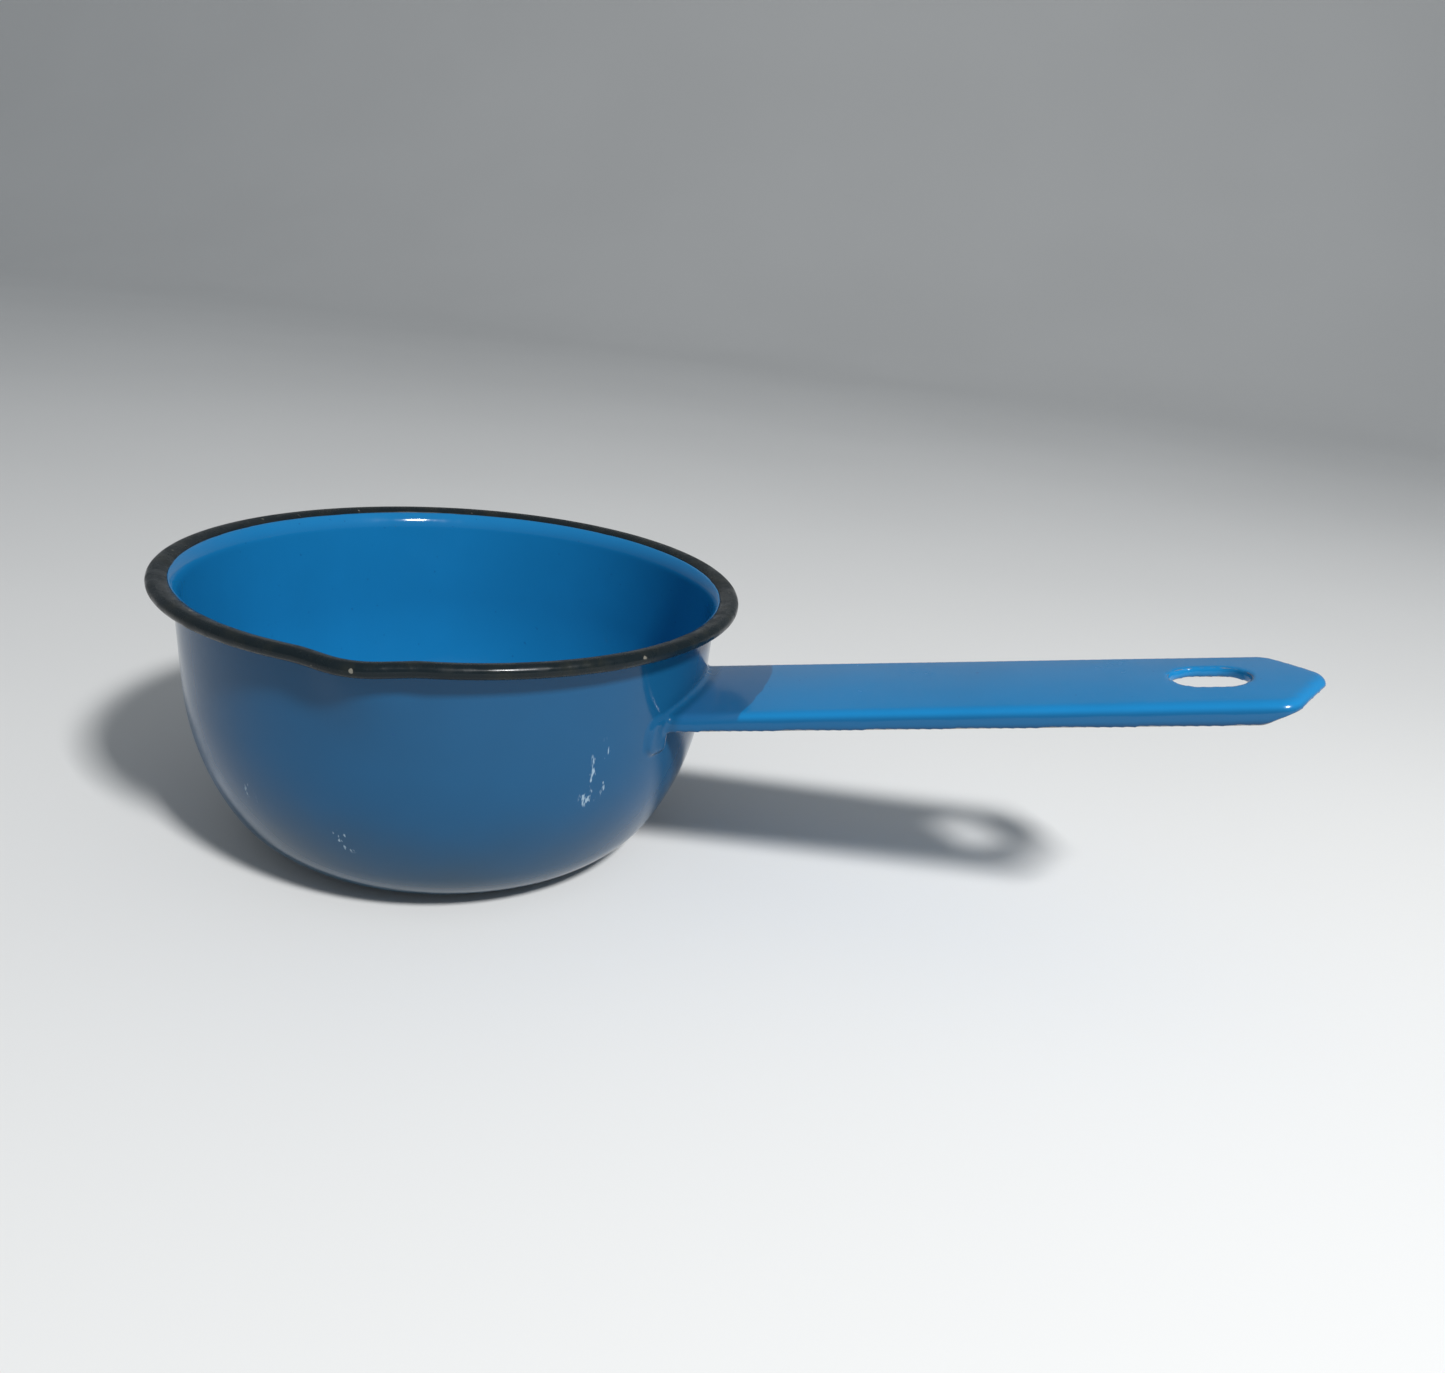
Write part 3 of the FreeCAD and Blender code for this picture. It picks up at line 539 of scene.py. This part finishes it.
def turningTree():
    # The bowl's coats are turned from their outlines: the grid has one column for each step round
    # and one row for each outline point.
    tree = bpy.data.node_groups.new("turned coat", "GeometryNodeTree")
    face = tree.interface
    face.new_socket("Geometry", in_out="OUTPUT", socket_type="NodeSocketGeometry")
    face.new_socket("Outline", in_out="INPUT", socket_type="NodeSocketGeometry")
    face.new_socket("Segments", in_out="INPUT", socket_type="NodeSocketInt")
    for name in ("Lip Turn", "Lip Span", "Lip Push", "Lip Drop", "Unevenness"):
        face.new_socket(name, in_out="INPUT", socket_type="NodeSocketFloat")
    face.new_socket("Finish", in_out="INPUT", socket_type="NodeSocketMaterial")

    def add(kind, **settings):
        node = tree.nodes.new(kind)
        for key, value in settings.items():
            setattr(node, key, value)
        return node

    def feed(node, slot, value):
        if isinstance(value, bpy.types.NodeSocket):
            tree.links.new(value, node.inputs[slot])
        else:
            node.inputs[slot].default_value = value

    def sums(operation, *values):
        node = add("ShaderNodeMath", operation=operation)
        for slot, value in enumerate(values):
            feed(node, slot, value)
        return node.outputs[0]

    def scaled(vector, factor):
        node = add("ShaderNodeVectorMath", operation="SCALE")
        feed(node, 0, vector)
        feed(node, "Scale", factor)
        return node.outputs[0]

    def added(first, second):
        node = add("ShaderNodeVectorMath", operation="ADD")
        feed(node, 0, first)
        feed(node, 1, second)
        return node.outputs[0]

    given = add("NodeGroupInput")
    outline = given.outputs["Outline"]
    counted = add("GeometryNodeAttributeDomainSize", component="MESH")
    feed(counted, "Geometry", outline)
    rows = counted.outputs["Point Count"]
    columns = sums("ADD", given.outputs["Segments"], 1.0)
    grid = add("GeometryNodeMeshGrid")
    feed(grid, "Vertices X", columns)
    feed(grid, "Vertices Y", rows)

    index = add("GeometryNodeInputIndex").outputs[0]
    column = sums("FLOOR", sums("DIVIDE", sums("ADD", index, 0.5), rows))
    row = sums("SUBTRACT", index, sums("MULTIPLY", column, rows))
    turn = sums("MULTIPLY", sums("DIVIDE", column, given.outputs["Segments"]), 2 * math.pi)

    def sampled(value, dataType):
        node = add("GeometryNodeSampleIndex", data_type=dataType, domain="POINT")
        feed(node, "Geometry", outline)
        feed(node, "Value", value)
        feed(node, "Index", row)
        return node.outputs["Value"]

    point = sampled(add("GeometryNodeInputPosition").outputs[0], "FLOAT_VECTOR")
    shareField = add("GeometryNodeInputNamedAttribute", data_type="FLOAT")
    shareField.inputs["Name"].default_value = "lipShare"
    share = sampled(shareField.outputs["Attribute"], "FLOAT")
    parts = add("ShaderNodeSeparateXYZ")
    feed(parts, 0, point)

    # how far into the lip this column stands: 0 in its middle, 1 at its ends and beyond
    fromLip = sums("WRAP", sums("SUBTRACT", turn, given.outputs["Lip Turn"]), math.pi, -math.pi)
    across = sums("MINIMUM", sums("DIVIDE", sums("ABSOLUTE", fromLip),
                                  sums("MULTIPLY", given.outputs["Lip Span"], 0.5)), 1.0)
    bulge = sums("POWER", sums("COSINE", sums("MULTIPLY", across, math.pi / 2)), 2.0)
    carried = sums("MULTIPLY", bulge, share)

    direction = add("ShaderNodeCombineXYZ")
    feed(direction, 0, sums("COSINE", turn))
    feed(direction, 1, sums("SINE", turn))
    upright = add("ShaderNodeCombineXYZ")
    feed(upright, 2, sums("SUBTRACT", parts.outputs[2],
                          sums("MULTIPLY", carried, given.outputs["Lip Drop"])))
    reach = sums("ADD", parts.outputs[0], sums("MULTIPLY", carried, given.outputs["Lip Push"]))
    place = added(scaled(direction.outputs[0], reach), upright.outputs[0])

    # every coat is pulled in by the same slow noise, so that their seams stay shut
    waves = add("ShaderNodeTexNoise")
    feed(waves, "Vector", place)
    feed(waves, "Scale", bowl["waveScale"])
    feed(waves, "Detail", 1.0)
    pull = sums("MULTIPLY", waves.outputs[0], sums("MULTIPLY", given.outputs["Unevenness"], -1.0))
    # and by nothing on the base and on the axis, so that the poles stay shut too
    low = sums("MINIMUM", sums("DIVIDE", parts.outputs[2], bowl["steadyHeight"] * mm), 1.0)
    central = sums("MINIMUM", sums("DIVIDE", parts.outputs[0], bowl["steadyRadius"] * mm), 1.0)
    grown = sums("MULTIPLY", pull, sums("MULTIPLY", low, central))
    place = added(place, scaled(direction.outputs[0], grown))

    moved = add("GeometryNodeSetPosition")
    feed(moved, "Geometry", grid.outputs["Mesh"])
    feed(moved, "Position", place)
    closed = add("GeometryNodeMergeByDistance")
    feed(closed, "Geometry", moved.outputs[0])
    feed(closed, "Distance", bowl["weldGap"] * mm)
    smooth = add("GeometryNodeSetShadeSmooth")
    feed(smooth, 0, closed.outputs[0])
    solid = add("GeometryNodeRealizeInstances")
    feed(solid, 0, smooth.outputs[0])
    finished = add("GeometryNodeSetMaterial")
    feed(finished, "Geometry", solid.outputs[0])
    feed(finished, "Material", given.outputs["Finish"])
    output = add("NodeGroupOutput")
    feed(output, 0, finished.outputs[0])
    return tree


def outlineMesh(name, points):
    mesh = bpy.data.meshes.new(name)
    corners = [(radius * mm, 0.0, height * mm) for radius, height, _ in points]
    mesh.from_pydata(corners, [(step, step + 1) for step in range(len(corners) - 1)], [])
    shares = mesh.attributes.new("lipShare", "FLOAT", "POINT")
    for step, (_, _, share) in enumerate(points):
        shares.data[step].value = share
    return mesh


def setInput(modifier, name, value):
    socket = next(item for item in modifier.node_group.interface.items_tree
                  if item.item_type == "SOCKET" and item.in_out == "INPUT" and item.name == name)
    modifier[socket.identifier] = value


def plainMesh(made):
    # what the modifiers give, as a plain mesh on the same object
    shown = made.evaluated_get(bpy.context.evaluated_depsgraph_get())
    mesh = bpy.data.meshes.new_from_object(shown)
    made.modifiers.clear()
    made.data = mesh
    return made


def faceOutwards(mesh):
    work = bmesh.new()
    work.from_mesh(mesh)
    bmesh.ops.recalc_face_normals(work, faces=work.faces)
    work.to_mesh(mesh)
    work.free()
    mesh.update()


coatTree = turningTree()


def turnedCoat(name, points, finish, node):
    made = newObject(name, outlineMesh(name, points))
    turned = made.modifiers.new("turned", "NODES")
    turned.node_group = coatTree
    setInput(turned, "Segments", bowl["segments"])
    setInput(turned, "Lip Turn", math.radians(bowl["lipTurn"]))
    setInput(turned, "Lip Span", math.radians(bowl["lipSpan"]))
    setInput(turned, "Lip Push", bowl["lipPush"] * mm)
    setInput(turned, "Lip Drop", bowl["lipDrop"] * mm)
    setInput(turned, "Unevenness", bowl["unevenness"] * mm)
    setInput(turned, "Finish", finish)
    plainMesh(made)
    faceOutwards(made.data)
    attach(made, "root")
    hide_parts(node)
    return made


outsideCoat = turnedCoat("outsideCoat", outsideOutline(), outsideMaterial, "outside_enamel")
insideCoat = turnedCoat("insideCoat", insideOutline(), insideMaterial, "inside_enamel")
rimBand = turnedCoat("rimBand", bandOutline(), blackMaterial, "rim_enamel")
print("bowl turned:", [len(item.data.polygons) for item in (outsideCoat, insideCoat, rimBand)], "faces")


# What a user would change on the handle's coat, which is melted over the pressing and on to the wall.
handle = {
    "voxel": 0.45,           # mm, size of the melt's cells
    "rounds": 14,            # smoothing that lets the glass settle into corners
    "settling": 0.5,         # how far each round goes
    "weldGap": 0.002,        # mm, points of the CAD's meshes closer than this become one
    "patchNear": 30.0,       # mm from the axis, where the wall's patch begins
    "patchSide": 36.0,       # mm of wall, each way from the middle, that the joint takes in
    "patchLow": 26.0,
    "patchHigh": 57.0,
    "sink": 0.07,            # mm, how far the patch goes under the bowl's own coat
    "sinkFade": 0.5,         # mm outside the wall, over which the sinking dies away
    "sinkDepth": 0.9,        # mm either side of the wall that can sink at all
    "sinkReach": 62.0,       # mm along the handle, beyond which nothing sinks
}


def wallSkin(point):
    # distance of a point outside the bowl's outer surface, in metres, away from the lip
    radius = math.hypot(point.x, point.y) / mm
    height = point.z / mm
    foot = polar(bellyCentre, bowl["bellyRadius"], bowl["wallLean"] - 90)
    if height > foot.y:
        flat = Vector((radius, height)) - foot
        return flat.dot(wallNormal) * mm
    return ((Vector((radius, height)) - bellyCentre).length - bowl["bellyRadius"]) * mm


def copyOf(node, crop=()):
    # a CAD node's mesh, cut off and capped at each of the crop's planes
    work = bmesh.new()
    work.from_mesh(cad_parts[node].data)
    bmesh.ops.remove_doubles(work, verts=work.verts, dist=handle["weldGap"] * mm)
    for spot, normal in crop:
        cut = bmesh.ops.bisect_plane(work, geom=work.verts[:] + work.edges[:] + work.faces[:],
                                     plane_co=spot, plane_no=normal, clear_outer=True)
        edges = [item for item in cut["geom_cut"] if isinstance(item, bmesh.types.BMEdge)]
        bmesh.ops.holes_fill(work, edges=edges)
    return work


def meltedHandle():
    # the handle and the wall beside it are remeshed as one skin, so that glass fills the corner
    made = bmesh.new()
    side = handle["patchSide"] * mm
    window = [
        (Vector((handle["patchNear"] * mm, 0, 0)), Vector((-1, 0, 0))),
        (Vector((0, side, 0)), Vector((0, 1, 0))),
        (Vector((0, -side, 0)), Vector((0, -1, 0))),
        (Vector((0, 0, handle["patchHigh"] * mm)), Vector((0, 0, 1))),
        (Vector((0, 0, handle["patchLow"] * mm)), Vector((0, 0, -1))),
    ]
    sources = [copyOf("handle_steel"), copyOf("handle_enamel"),
               copyOf("outside_enamel", window), copyOf("bowl_steel", window)]
    for source in sources:
        part = bpy.data.meshes.new("part")
        source.to_mesh(part)
        source.free()
        made.from_mesh(part)
        bpy.data.meshes.remove(part)
    mesh = bpy.data.meshes.new("handleCoat")
    made.to_mesh(mesh)
    made.free()
    melted = newObject("handleCoat", mesh)
    remesh = melted.modifiers.new("melt", "REMESH")
    remesh.mode = "VOXEL"
    remesh.voxel_size = handle["voxel"] * mm
    remesh.use_smooth_shade = True
    settle = melted.modifiers.new("settle", "SMOOTH")
    settle.factor = handle["settling"]
    settle.iterations = handle["rounds"]
    return plainMesh(melted)


def sinkPatch(mesh):
    # the patch's own wall goes just under the bowl's coat, and the joint's corner runs out over it
    for corner in mesh.vertices:
        away = wallSkin(corner.co)
        outward = Vector((corner.co.x, corner.co.y, 0)).normalized()
        if abs(away) < handle["sinkDepth"] * mm and corner.co.x < handle["sinkReach"] * mm:
            share = max(0.0, 1 - max(0.0, away) / (handle["sinkFade"] * mm))
            corner.co -= outward * handle["sink"] * mm * share


handleCoat = meltedHandle()
sinkPatch(handleCoat.data)
handleCoat.data.materials.clear()
handleCoat.data.materials.append(handleMaterial)
for face in handleCoat.data.polygons:
    face.use_smooth = True
    face.material_index = 0
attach(handleCoat, "root")
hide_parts("handle_enamel")
print("handle melted:", len(handleCoat.data.polygons), "faces")


# the steel under the glass keeps its CAD shape and takes a finish
for node, finish in (("bowl_steel", pressedSteel), ("handle_steel", pressedSteel),
                     ("weld_lip_side", weldedSteel), ("weld_far_side", weldedSteel)):
    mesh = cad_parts[node].data
    mesh.materials.clear()
    mesh.materials.append(finish)
print("steel finished")


# What a user would change on the stage: metres, degrees and watts.
stage = {
    "halfWide": 4.0,
    "front": -3.0,
    "back": 2.2,
    "sweepRadius": 0.9,
    "height": 3.0,
    "floorColour": (0.80, 0.80, 0.79),
    "floorShade": 0.97,      # what its darker clouds keep of that
    "floorRoughness": 0.9,
    "airColour": (0.82, 0.88, 0.94),
    "airStrength": 0.30,
    "keyTurn": -42.0,        # round from the handle
    "keyRise": 45.0,
    "keyDistance": 1.2,
    "keySide": 0.14,
    "keyPower": 14.0,
    "keyAim": (0.02, 0.0, 0.04),
}


def paleFloor():
    # flat under the pan, then a wide curve up behind it, so that no horizon shows
    radius = stage["sweepRadius"]
    bend = [(stage["back"] - radius + radius * math.sin(math.radians(angle)),
             radius - radius * math.cos(math.radians(angle))) for angle in range(0, 91, 5)]
    profile = [(stage["front"], 0.0)] + bend + [(stage["back"], stage["height"])]
    side = stage["halfWide"]
    corners = [(x, y, z) for y, z in profile for x in (-side, side)]
    faces = [(2 * step, 2 * step + 1, 2 * step + 3, 2 * step + 2) for step in range(len(profile) - 1)]
    mesh = bpy.data.meshes.new("floor")
    mesh.from_pydata(corners, [], faces)
    for face in mesh.polygons:
        face.use_smooth = True
    floor = newObject("floor", mesh)
    material, tree, shader = newMaterial("pale floor")
    place = objectPlace(tree)
    shade = rampOf(tree, noiseOf(tree, place, 3, 2), 0.3, 0.7, 0.0, 1.0)
    pale = stage["floorColour"]
    darker = tuple(stage["floorShade"] * part for part in pale)
    tree.links.new(blendOf(tree, shade, pale, darker), shader.inputs["Base Color"])
    shader.inputs["Roughness"].default_value = stage["floorRoughness"]
    mesh.materials.append(material)


def keyLight():
    turn = math.radians(stage["keyTurn"])
    rise = math.radians(stage["keyRise"])
    way = Vector((math.cos(rise) * math.cos(turn), math.cos(rise) * math.sin(turn), math.sin(rise)))
    place = way * stage["keyDistance"]
    data = bpy.data.lights.new("key", "AREA")
    data.shape = "RECTANGLE"
    data.size = stage["keySide"]
    data.size_y = stage["keySide"]
    data.energy = stage["keyPower"]
    lamp = newObject("key", data)
    lamp.location = place
    lamp.rotation_euler = (Vector(stage["keyAim"]) - place).to_track_quat("-Z", "Y").to_euler()


def studioAir():
    world = bpy.data.worlds.new("studio air")
    bpy.context.scene.world = world
    world.use_nodes = True
    air = world.node_tree.nodes["Background"]
    air.inputs["Color"].default_value = (*stage["airColour"], 1.0)
    air.inputs["Strength"].default_value = stage["airStrength"]


paleFloor()
studioAir()
keyLight()

# What a user would change on the camera: degrees, and millimetres for the rest.
view = {
    "azimuth": 10.88,
    "elevation": 20.11,
    "distance": 270.96,
    "roll": 6.30,
    "aimX": 64.82,
    "aimZ": 46.65,
    "lens": 29.9,
    "sensor": 36.0,
    "clip": 10.0,
}


def leaningCamera():
    turn = math.radians(view["azimuth"])
    rise = math.radians(view["elevation"])
    roll = math.radians(view["roll"])
    back = Vector((math.sin(turn) * math.cos(rise), -math.cos(turn) * math.cos(rise), math.sin(rise)))
    level = (-back).cross(Vector((0, 0, 1))).normalized()
    upright = level.cross(-back)
    right = level * math.cos(roll) + upright * math.sin(roll)
    up = upright * math.cos(roll) - level * math.sin(roll)
    aim = Vector((view["aimX"], 0, view["aimZ"])) * mm
    data = bpy.data.cameras.new("camera")
    data.sensor_width = view["sensor"]
    data.lens = view["lens"]
    data.clip_start = view["clip"] * mm
    camera = newObject("camera", data)
    place = Matrix((right, up, back)).transposed().to_4x4()
    place.translation = aim + back * view["distance"] * mm
    camera.matrix_world = place
    bpy.context.scene.camera = camera


leaningCamera()
bpy.context.scene.view_settings.view_transform = "Standard"
print("stage set")
